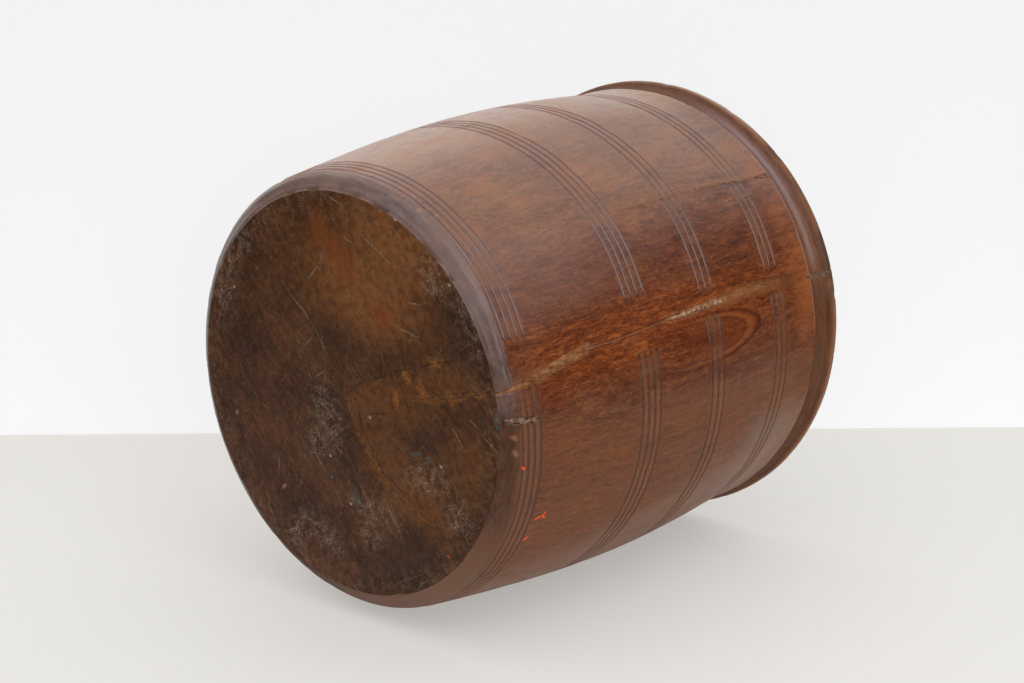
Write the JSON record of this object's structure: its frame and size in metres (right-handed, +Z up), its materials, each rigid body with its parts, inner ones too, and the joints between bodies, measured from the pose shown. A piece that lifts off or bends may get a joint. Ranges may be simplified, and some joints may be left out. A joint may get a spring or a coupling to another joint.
{
  "type": "grain bowl",
  "caption": "Turned hardwood grain bowl, slightly barrel-shaped, with grooved bands, a bevelled foot, a hollowed and beaded lip, and filled drying cracks.",
  "frame": {"origin": "centre of the flat base face, on the plane the bowl stands on", "axes": "+Z up the turning axis from the base to the rim; -Y towards the side with the main crack"},
  "size_m": [0.225, 0.225, 0.226],
  "materials": {
    "wood": "worn, oiled and handled turned hardwood, satin",
    "filler_tan": "dry fibrous filler, matte",
    "filler_pale": "pale chalky filler, matte",
    "filler_brown": "smooth grey-brown filler, matte",
    "filler_grey": "grey-brown filler, matte",
    "filler_ochre": "ochre filler, matte"
  },
  "bodies": {
    "root": {"bowl_body": "wood", "crack_fill_foot": "filler_tan", "crack_fill_pale": "filler_pale", "crack_fill_brown": "filler_brown", "rim_fill": "filler_grey", "second_crack_fill": "filler_pale", "lip_chip_fill": "filler_pale", "base_crack_fill": "filler_ochre", "base_crack_fill_curved": "filler_ochre", "foot_chip_fill": "filler_pale"}
  },
  "joints": []
}
